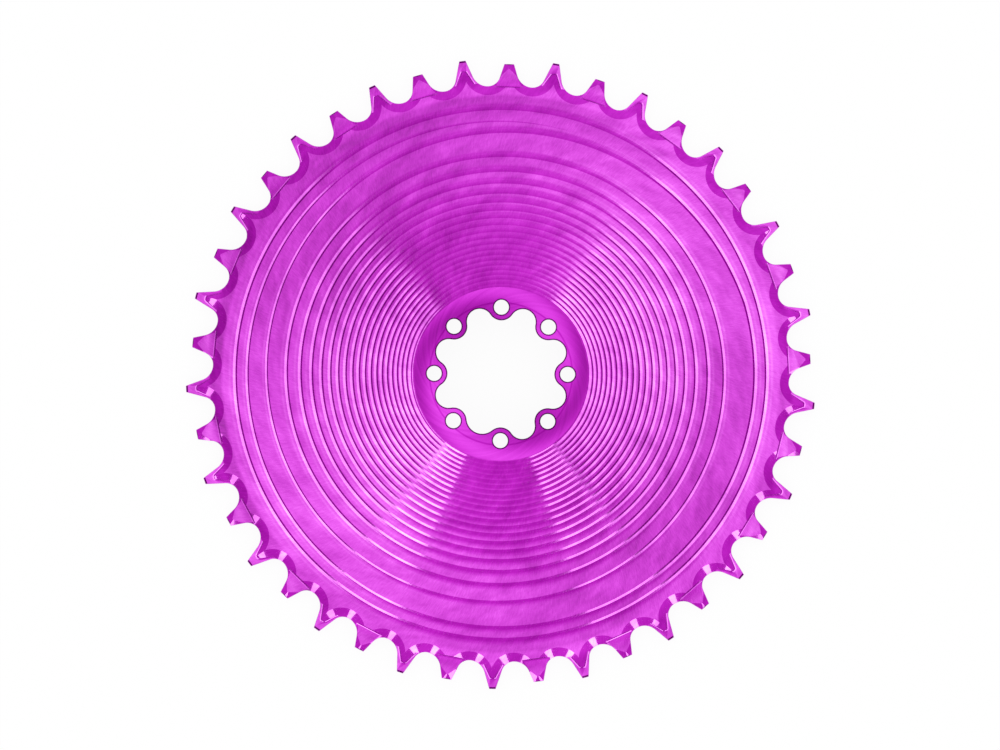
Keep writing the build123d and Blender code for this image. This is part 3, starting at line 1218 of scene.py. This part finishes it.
@dataclass
class TurnedSkin:
    """The plain turned surfaces: the step at the rim's flat, and the whole back."""

    blank: Blank
    start_azimuth: float
    dish: SpiralDish
    web_thickness: float = 1.8
    hub_thickness: float = 3.0
    hub_back_radius: float = 25.2
    rim_corner: float = 0.9
    hub_corner: float = 0.6
    edge_break: float = 0.25
    back_rings: int = 12
    fillet_step: float = 11.25

    def step_profile(self) -> Profile:
        """Draws the step from the band's outer lip down to the rim's flat and out to the teeth.

        Returns:
            Radii and heights, from the inside out.
        """
        blank = self.blank
        profile = [(blank.rim_flat_radius, blank.band_z)]
        for index in range(self.dish.corner_rows, -1, -1):
            share = index / self.dish.corner_rows
            radius = blank.rim_flat_radius + self.dish.edge_run + self.dish.corner_run * (1 - share)
            rise = blank.step_height * (1 - self.dish.edge_share) * share**3
            profile.append((radius, blank.rim_front_z + rise))
        return [*profile, (blank.seam_radius, blank.rim_front_z)]

    def back_z(self, radius: float) -> float:
        """The height of the dish's back, a web's thickness behind the terraces."""
        inward = (self.dish.origin_radius - radius) / (self.dish.origin_radius - self.blank.crest_radius)
        return self.blank.band_z + self.blank.step_height * self.dish.turns * inward**2 - self.web_thickness

    def back_profile(self) -> Profile:
        """Draws the back from the hub's face out to the teeth.

        Returns:
            Radii and heights, from the inside out.
        """
        blank = self.blank
        hub, rim, edge = self.hub_back_radius, blank.rim_back_radius, self.edge_break
        profile = [
            (blank.crest_radius, -self.hub_thickness),
            (hub - edge, -self.hub_thickness),
            (hub, -self.hub_thickness + edge),
        ]
        profile += self.fillet(hub + self.hub_corner, self.hub_corner, 180.0, 90.0)
        first, last = hub + self.hub_corner, rim - self.rim_corner
        for index in range(1, self.back_rings):
            radius = first + (last - first) * index / self.back_rings
            profile.append((radius, self.back_z(radius)))
        profile += self.fillet(last, self.rim_corner, 90.0, 0.0)
        profile += [(rim, blank.rim_back_z + edge), (rim + edge, blank.rim_back_z)]
        return [*profile, (blank.seam_radius, blank.rim_back_z)]

    def fillet(self, radius: float, corner: float, start: float, end: float) -> Profile:
        """Draws the round corner between the dish's back and a wall.

        Args:
            radius: The radius of the ring at which the corner touches the dish's back.
            corner: The corner's radius.
            start: The angle at which it starts, in degrees.
            end: The angle at which it ends.

        Returns:
            Radii and heights.
        """
        centre = Vector((radius, self.back_z(radius) - corner, 0.0))
        return [(point.x, point.y) for point in arc(centre, corner, start, end, self.fillet_step)]

    def build(self, finish: bpy.types.Material) -> bpy.types.Object:
        """Turns both profiles.

        Args:
            finish: The material of the surfaces.

        Returns:
            The open surfaces as one object.
        """
        blank = self.blank
        azimuths = [self.start_azimuth + blank.column_angle * index for index in range(blank.columns)]
        shape = bmesh.new()
        for profile, flip in ((self.step_profile(), False), (self.back_profile(), True)):
            rings = []
            for radius, height in profile:
                rings.append([shape.verts.new(polar(radius, azimuth, height)) for azimuth in azimuths])
            for near, far in zip(rings, rings[1:]):
                for index, corner in enumerate(near):
                    following = (index + 1) % len(near)
                    corners = (corner, far[index], far[following], near[following])
                    shape.faces.new(reversed(corners) if flip else corners)
        mesh = bpy.data.meshes.new("turned_skin")
        shape.to_mesh(mesh)
        shape.free()
        mesh.materials.append(finish)
        return make_object("turned_skin", mesh)


@dataclass
class Chainring:
    """The whole ring, whose milled and turned surfaces join into one closed skin."""

    blank: Blank
    sharp_angle: float = 12.0

    def build(self, finish: bpy.types.Material) -> bpy.types.Object:
        """Builds every surface and joins them.

        Args:
            finish: The ring's finish.

        Returns:
            The finished piece, in metres.
        """
        dish = SpiralDish(self.blank)
        start = dish.start_azimuth
        parts = [
            dish.build(finish),
            ToothRing(self.blank, start).build(finish),
            Hub(self.blank, start).build(finish),
            TurnedSkin(self.blank, start, dish).build(finish),
        ]
        for part in parts:
            log.info("%s has %d faces", part.name, len(part.data.polygons))
        shape = bmesh.new()
        for part in parts:
            shape.from_mesh(part.data)
            spent = part.data
            bpy.data.objects.remove(part)
            bpy.data.meshes.remove(spent)
        bmesh.ops.remove_doubles(shape, verts=shape.verts, dist=MEETING)
        bmesh.ops.dissolve_degenerate(shape, edges=shape.edges, dist=CLOSE)
        bmesh.ops.recalc_face_normals(shape, faces=shape.faces)
        open_edges = sum(not edge.is_manifold for edge in shape.edges)
        volume = shape.calc_volume(signed=True)
        log.info("the skin has %d open edges and a volume of %.0f", open_edges, volume)
        limit = math.radians(self.sharp_angle)
        for face in shape.faces:
            face.smooth = True
        for edge in shape.edges:
            edge.smooth = edge.is_manifold and edge.calc_face_angle() < limit
        bmesh.ops.transform(shape, matrix=Matrix.Scale(MILLIMETRE, 4), verts=shape.verts)
        mesh = bpy.data.meshes.new("chainring_skin")
        shape.to_mesh(mesh)
        shape.free()
        mesh.materials.clear()
        mesh.materials.append(finish)
        return make_object("chainring_skin", mesh)


@dataclass(frozen=True)
class Marks:
    """Marks in the metal that lie round the ring's axis and turn on their way out.

    The sizes are the marks on a radian, the turn in radians for a metre of radius, the marks on a metre of
    radius, and how much the marks change the shade.
    """

    count: float
    slant: float
    along: float
    strength: float

    def noise(self, tree: bpy.types.NodeTree, azimuth: Field, radius: Field) -> Field:
        """Lays the marks.

        Args:
            tree: The tree that gets the nodes.
            azimuth: The place's azimuth in radians.
            radius: Its distance from the axis in metres.

        Returns:
            The noise, from 0 to 1.
        """
        twisted = azimuth + radius * self.slant
        parts = (twisted.cosine() * self.count, twisted.sine() * self.count, radius * self.along)
        place = tree.nodes.new("ShaderNodeCombineXYZ")
        for socket, part in zip(place.inputs, parts):
            tree.links.new(part.socket, socket)
        noise = tree.nodes.new("ShaderNodeTexNoise")
        noise.inputs["Scale"].default_value = 1.0
        noise.inputs["Detail"].default_value = 2.0
        tree.links.new(place.outputs["Vector"], noise.inputs["Vector"])
        return Field(tree, noise.outputs["Fac"])

    def tone(self, noise: Field) -> Field:
        """Gives what the marks add to the shade."""
        return (noise - 0.5) * self.strength


@dataclass(frozen=True)
class AnodisedFinish:
    """Bright purple anodising over fine machining marks.

    The sheen is painted: two soft bands of light in the base colour that cross the ring. They twist inside
    the rim and again in the hub. Radii and runs are in metres and angles in degrees. The swirl in the hub is
    in degrees for a metre of radius.
    """

    colour: tuple[float, float, float] = (0.68, 0.075, 0.72)
    plain_shade: float = 0.98
    hub_shade: float = 0.85
    recess_shade: float = 0.03
    hub_green_loss: float = 0.25
    roughness: float = 0.07
    roughness_spread: float = 0.06
    coat: float = 0.8
    coat_roughness: float = 0.1
    hub_coat_loss: float = 0.75
    grain: Marks = Marks(count=210.0, slant=5.0, along=625.0, strength=0.42)
    grain_depth: float = 1.5e-6
    blotches: Marks = Marks(count=5.0, slant=12.0, along=110.0, strength=0.6)
    mottle: Marks = Marks(count=14.0, slant=20.0, along=330.0, strength=0.55)
    swirls: Marks = Marks(count=12.0, slant=115.0, along=60.0, strength=0.35)
    # Painted sheen and shade in the base colour: two bands of light, a darker side, and lighter and darker
    # sides of the rim's flat and outer edge
    painted_sheen: float = 0.14
    painted_sheen_azimuth: float = 19.5
    painted_sheen_twist: float = 35.5
    twist_radius: float = 0.076
    twist_run: float = 0.006
    hub_swirl: float = 15000.0
    hub_middle_radius: float = 0.0226
    hub_radius: float = 0.0244
    recess_radius: float = 0.0198
    recess_run: float = 0.0016
    painted_dark_azimuth: float = 80.0
    painted_dark_side: float = 0.05
    rim_lip_radius: float = 0.0744
    painted_rim_sheen: float = 0.07
    rim_shade: float = 0.02
    tooth_radius: float = 0.078
    tooth_run: float = 0.001
    tooth_sheen_loss: float = 0.6
    painted_edge_sheen: float = 0.1
    painted_edge_double_sheen: float = 0.2
    root_radius: float = 0.0815
    root_run: float = 0.0015
    root_sheen_loss: float = 0.8

    def material(self) -> bpy.types.Material:
        """Builds the finish.

        Returns:
            The material.
        """
        made = bpy.data.materials.new("anodised")
        made.use_nodes = True
        tree = made.node_tree
        shader = tree.nodes["Principled BSDF"]
        shader.inputs["Metallic"].default_value = 1.0
        shader.inputs["Coat Roughness"].default_value = self.coat_roughness
        coordinates = tree.nodes.new("ShaderNodeTexCoord")
        split = tree.nodes.new("ShaderNodeSeparateXYZ")
        tree.links.new(coordinates.outputs["Object"], split.inputs[0])
        east, north = (Field(tree, socket) for socket in split.outputs[:2])
        radius = (east * east + north * north).root()
        azimuth = Field.formula(tree, "ARCTAN2", north, east)
        in_hub = radius < self.hub_radius
        grain = self.grain.noise(tree, azimuth, radius)
        blotches = self.blotches.tone(self.blotches.noise(tree, azimuth, radius))
        mottle = self.mottle.tone(self.mottle.noise(tree, azimuth, radius))
        swirls = self.swirls.tone(self.swirls.noise(tree, azimuth, radius))
        recess = ((self.recess_radius + self.recess_run - radius) / self.recess_run).clamped()
        plain = blotches + mottle + self.grain.tone(grain) + self.plain_shade
        hub = swirls + recess * self.recess_shade + self.hub_shade
        # The shade holds the painted sheen, bands of light and shade painted into the base colour
        shade = plain.mixed(hub, in_hub) + self.painted_sheen_at(azimuth, radius, in_hub)
        red, green, blue = self.colour
        # Green follows the cube of the shade, so the painted sheen also shifts the hue
        deep = shade * shade * shade * (1.0 - in_hub * self.hub_green_loss)
        tone = tree.nodes.new("ShaderNodeCombineColor")
        for socket, part in zip(tone.inputs, (shade * red, deep * green, shade * blue)):
            tree.links.new(part.socket, socket)
        bump = tree.nodes.new("ShaderNodeBump")
        bump.inputs["Distance"].default_value = self.grain_depth
        tree.links.new(grain.socket, bump.inputs["Height"])
        rough = (grain - 0.5) * self.roughness_spread + self.roughness
        coat = (1.0 - in_hub * self.hub_coat_loss) * self.coat
        tree.links.new(tone.outputs["Color"], shader.inputs["Base Color"])
        tree.links.new(rough.socket, shader.inputs["Roughness"])
        tree.links.new(coat.socket, shader.inputs["Coat Weight"])
        tree.links.new(bump.outputs["Normal"], shader.inputs["Normal"])
        return made

    def painted_sheen_at(self, azimuth: Field, radius: Field, in_hub: Field) -> Field:
        """Works out the painted sheen: what bands of light and shade, painted into the colour, add to the
        shade.

        Args:
            azimuth: The place's azimuth in radians.
            radius: Its distance from the axis in metres.
            in_hub: 1 in the hub, else 0.

        Returns:
            The added shade.
        """
        twist = ((self.twist_radius - radius) / self.twist_run).clamped() * self.painted_sheen_twist
        swirl = (radius.at_least(self.recess_radius) - self.hub_middle_radius) * self.hub_swirl
        lean = twist + in_hub * (swirl + self.painted_sheen_twist / 2) + self.painted_sheen_azimuth
        lean = lean * (math.pi / 180.0)
        painted_sheen = ((azimuth - lean) * 2.0).cosine() * (in_hub * self.painted_sheen + self.painted_sheen)
        # Painted shade: the side towards the dark azimuth is darker
        dark = (azimuth - math.radians(self.painted_dark_azimuth)).cosine() * self.painted_dark_side
        # Painted sheen: the rim's flat is lighter to the right and darker to the left
        at_rim = radius > self.rim_lip_radius
        painted_sheen = painted_sheen - dark + (azimuth.cosine() * self.painted_rim_sheen + self.rim_shade) * at_rim
        # Painted sheen from the rim's outer edge to the teeth's roots: lighter at top and bottom, darker at
        # the sides, most at the left; the bands fade on the teeth
        on_teeth = ((radius - self.tooth_radius) / self.tooth_run).clamped()
        past_roots = ((radius - self.root_radius) / self.root_run).clamped()
        edge = azimuth.cosine() * self.painted_edge_sheen - (azimuth * 2.0).cosine() * self.painted_edge_double_sheen
        edge = edge * on_teeth * (1.0 - past_roots * self.root_sheen_loss)
        return painted_sheen * (1.0 - on_teeth * self.tooth_sheen_loss) + edge


@dataclass(frozen=True)
class Panel:
    """A part of the sky that is lighter or darker, in degrees of azimuth and of tilt from straight up."""

    first: float
    last: float
    gain: float
    low: float
    high: float
    side_softness: float = 1.0
    tilt_softness: float = 4.0

    def light(self, tree: bpy.types.NodeTree, azimuth: Field, tilt: Field) -> Field:
        """Works out what the panel adds to the sky.

        Args:
            tree: The tree that gets the formula.
            azimuth: The azimuth of the direction looked in, in degrees.
            tilt: Its angle from straight up.

        Returns:
            The added level.
        """
        away = Field.formula(tree, "WRAP", azimuth - (self.first + self.last) / 2, 180.0, -180.0)
        away = Field.formula(tree, "ABSOLUTE", away)
        half_width = (self.last - self.first) / 2
        across = ((half_width - away) / self.side_softness + 0.5).clamped()
        under = ((tilt - self.low) / self.tilt_softness + 0.5).clamped()
        over = ((self.high - tilt) / self.tilt_softness + 0.5).clamped()
        return across * under * over * self.gain


@dataclass(frozen=True)
class Sky:
    """The light that the ring reflects, as a base level and the panels on it."""

    zenith: float = 0.96
    zenith_tilt: float = 0.5
    zenith_run: float = 5.5
    base: float = 0.78
    fill: float = 1.1
    green_gain: float = 0.62
    green_top: float = 1.7
    panels: tuple[Panel, ...] = (
        Panel(-40.0, 66.0, 0.34, 1.5, 15.0, side_softness=14.0, tilt_softness=2.0),
        Panel(150.0, 242.0, 0.3, 1.5, 15.0, side_softness=20.0, tilt_softness=2.0),
        Panel(84.0, 146.0, 0.09, 1.5, 15.0, side_softness=20.0, tilt_softness=2.0),
        Panel(252.0, 292.0, 0.06, 1.5, 15.0, side_softness=20.0, tilt_softness=2.0),
        Panel(-52.0, 54.0, 1.0, 12.5, 28.5, side_softness=5.0, tilt_softness=3.0),
        Panel(133.0, 232.0, 0.9, 12.5, 28.5, side_softness=5.0, tilt_softness=3.0),
        Panel(-52.0, 54.0, -0.32, 28.5, 41.0, side_softness=8.0, tilt_softness=2.5),
        Panel(133.0, 232.0, -0.32, 28.5, 41.0, side_softness=8.0, tilt_softness=2.5),
        Panel(-52.0, 54.0, -0.12, 28.5, 60.0, side_softness=8.0, tilt_softness=3.0),
        Panel(133.0, 232.0, -0.12, 28.5, 60.0, side_softness=8.0, tilt_softness=3.0),
        Panel(54.0, 133.0, -0.06, 28.5, 60.0, side_softness=8.0, tilt_softness=3.0),
        Panel(-128.0, -52.0, -0.14, 10.0, 60.0, side_softness=8.0, tilt_softness=6.0),
        Panel(-69.6, -52.7, 1.6, 25.0, 60.0, side_softness=0.4, tilt_softness=3.0),
        Panel(-127.8, -112.8, 1.6, 25.0, 60.0, side_softness=0.4, tilt_softness=3.0),
        Panel(-180.0, 180.0, -0.6, 76.0, 90.0, tilt_softness=4.0),
    )

    def level(self, tree: bpy.types.NodeTree, east: Field, north: Field, up: Field) -> Field:
        """Works out how bright the sky is in a direction.

        Args:
            tree: The tree that gets the formula.
            east: The direction's part along +X.
            north: Its part along +Y.
            up: Its part along +Z.

        Returns:
            The level, where 1 is as bright as the white floor.
        """
        azimuth = Field.formula(tree, "ARCTAN2", north, east) * (180.0 / math.pi)
        tilt = up.at_most(1.0).arccosine() * (180.0 / math.pi)
        away = ((tilt - self.zenith_tilt) / self.zenith_run).clamped()
        level = away * (self.base - self.zenith) + self.zenith
        for panel in self.panels:
            level = level + panel.light(tree, azimuth, tilt)
        return level.at_least(0.0)


@dataclass
class Studio:
    """The pale floor, the light round the ring and the camera above it."""

    floor_z: float
    floor_size: float = 6.0
    floor_shade: float = 0.9
    floor_glow: float = 0.93
    camera_height: float = 4.0
    camera_reach: float = 20.0
    sky: Sky = field(default_factory=Sky)

    def build_floor(self) -> None:
        """Lays the floor under the ring."""
        shape = bmesh.new()
        bmesh.ops.create_grid(shape, x_segments=1, y_segments=1, size=self.floor_size / 2)
        bmesh.ops.translate(shape, vec=(0.0, 0.0, self.floor_z), verts=shape.verts)
        mesh = bpy.data.meshes.new("floor")
        shape.to_mesh(mesh)
        shape.free()
        floor = make_object("floor", mesh)
        made = bpy.data.materials.new("floor")
        made.use_nodes = True
        tree = made.node_tree
        shader = tree.nodes["Principled BSDF"]
        shade = self.floor_shade
        shader.inputs["Base Color"].default_value = (shade, shade, shade, 1.0)
        shader.inputs["Roughness"].default_value = 0.9
        shader.inputs["Specular IOR Level"].default_value = 0.0
        glow = tree.nodes.new("ShaderNodeEmission")
        glow.inputs["Strength"].default_value = 1.0
        path = tree.nodes.new("ShaderNodeLightPath")
        blend = tree.nodes.new("ShaderNodeMixShader")
        share = Field(tree, path.outputs["Is Camera Ray"]) * self.floor_glow
        tree.links.new(share.socket, blend.inputs[0])
        tree.links.new(shader.outputs[0], blend.inputs[1])
        tree.links.new(glow.outputs[0], blend.inputs[2])
        tree.links.new(blend.outputs[0], tree.nodes["Material Output"].inputs["Surface"])
        mesh.materials.append(made)

    def build_world(self) -> None:
        """Paints the light panels round the ring on the world."""
        world = bpy.data.worlds.new("studio")
        bpy.context.scene.world = world
        world.use_nodes = True
        world.cycles.sampling_method = "NONE"
        tree = world.node_tree
        coordinates = tree.nodes.new("ShaderNodeTexCoord")
        split = tree.nodes.new("ShaderNodeSeparateXYZ")
        tree.links.new(coordinates.outputs["Generated"], split.inputs[0])
        east, north, up = (Field(tree, socket) for socket in split.outputs)
        level = self.sky.level(tree, east, north, up)
        path = tree.nodes.new("ShaderNodeLightPath")
        camera = Field(tree, path.outputs["Is Camera Ray"])
        glossy = Field(tree, path.outputs["Is Glossy Ray"])
        strength = level * glossy + (1.0 - glossy) * self.sky.fill
        strength = strength.mixed(1.0, camera)
        green = (level * level * level * self.sky.green_gain).at_most(self.sky.green_top)
        green = (1.0 - glossy).mixed(green, glossy)
        colour = tree.nodes.new("ShaderNodeCombineColor")
        colour.inputs["Red"].default_value = 1.0
        colour.inputs["Blue"].default_value = 1.0
        tree.links.new(green.socket, colour.inputs["Green"])
        background = tree.nodes["Background"]
        tree.links.new(colour.outputs["Color"], background.inputs["Color"])
        tree.links.new(strength.socket, background.inputs["Strength"])

    def build_camera(self, scale: float, centre: tuple[float, float], roll: float) -> None:
        """Puts the camera high above the ring, looking straight down.

        Args:
            scale: Millimetres of the ring for one pixel of the frame.
            centre: The ring's centre in the frame, in pixels from its top left corner.
            roll: How far the camera is turned, in degrees.
        """
        lens = bpy.data.cameras.new("camera")
        lens.sensor_width = 36.0
        width = FRAME_WIDTH * scale * MILLIMETRE
        lens.lens = lens.sensor_width * self.camera_height / width
        lens.shift_x = (FRAME_WIDTH / 2 - centre[0]) / FRAME_WIDTH
        lens.shift_y = (centre[1] - FRAME_HEIGHT / 2) / FRAME_WIDTH
        lens.clip_end = self.camera_reach
        camera = bpy.data.objects.new("camera", lens)
        camera.location = (0.0, 0.0, self.camera_height)
        camera.rotation_euler = (0.0, 0.0, math.radians(roll))
        bpy.context.scene.collection.objects.link(camera)
        bpy.context.scene.camera = camera


def main() -> None:
    """Builds the ring, its studio and the camera."""
    logging.basicConfig(level=logging.INFO, format="%(name)s: %(message)s")
    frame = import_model()
    log.info("the frame holds %s", ", ".join(sorted(frame["nodes"])))
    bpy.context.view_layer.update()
    low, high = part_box("chainring")
    blank = Blank(plateau_z=high.z / MILLIMETRE, rim_back_z=low.z / MILLIMETRE)
    ring = Chainring(blank).build(AnodisedFinish().material())
    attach(ring, "root")
    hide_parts("chainring")
    ring.data.calc_loop_triangles()
    counts = (len(ring.data.polygons), len(ring.data.loop_triangles))
    log.info("%s has %d faces and %d triangles", ring.name, *counts)
    studio = Studio(floor_z=low.z)
    studio.build_floor()
    studio.build_world()
    studio.build_camera(scale=0.2809, centre=(500.9, 373.9), roll=0.45)
    bpy.context.scene.view_settings.view_transform = "Standard"


if __name__ == "__main__":
    main()
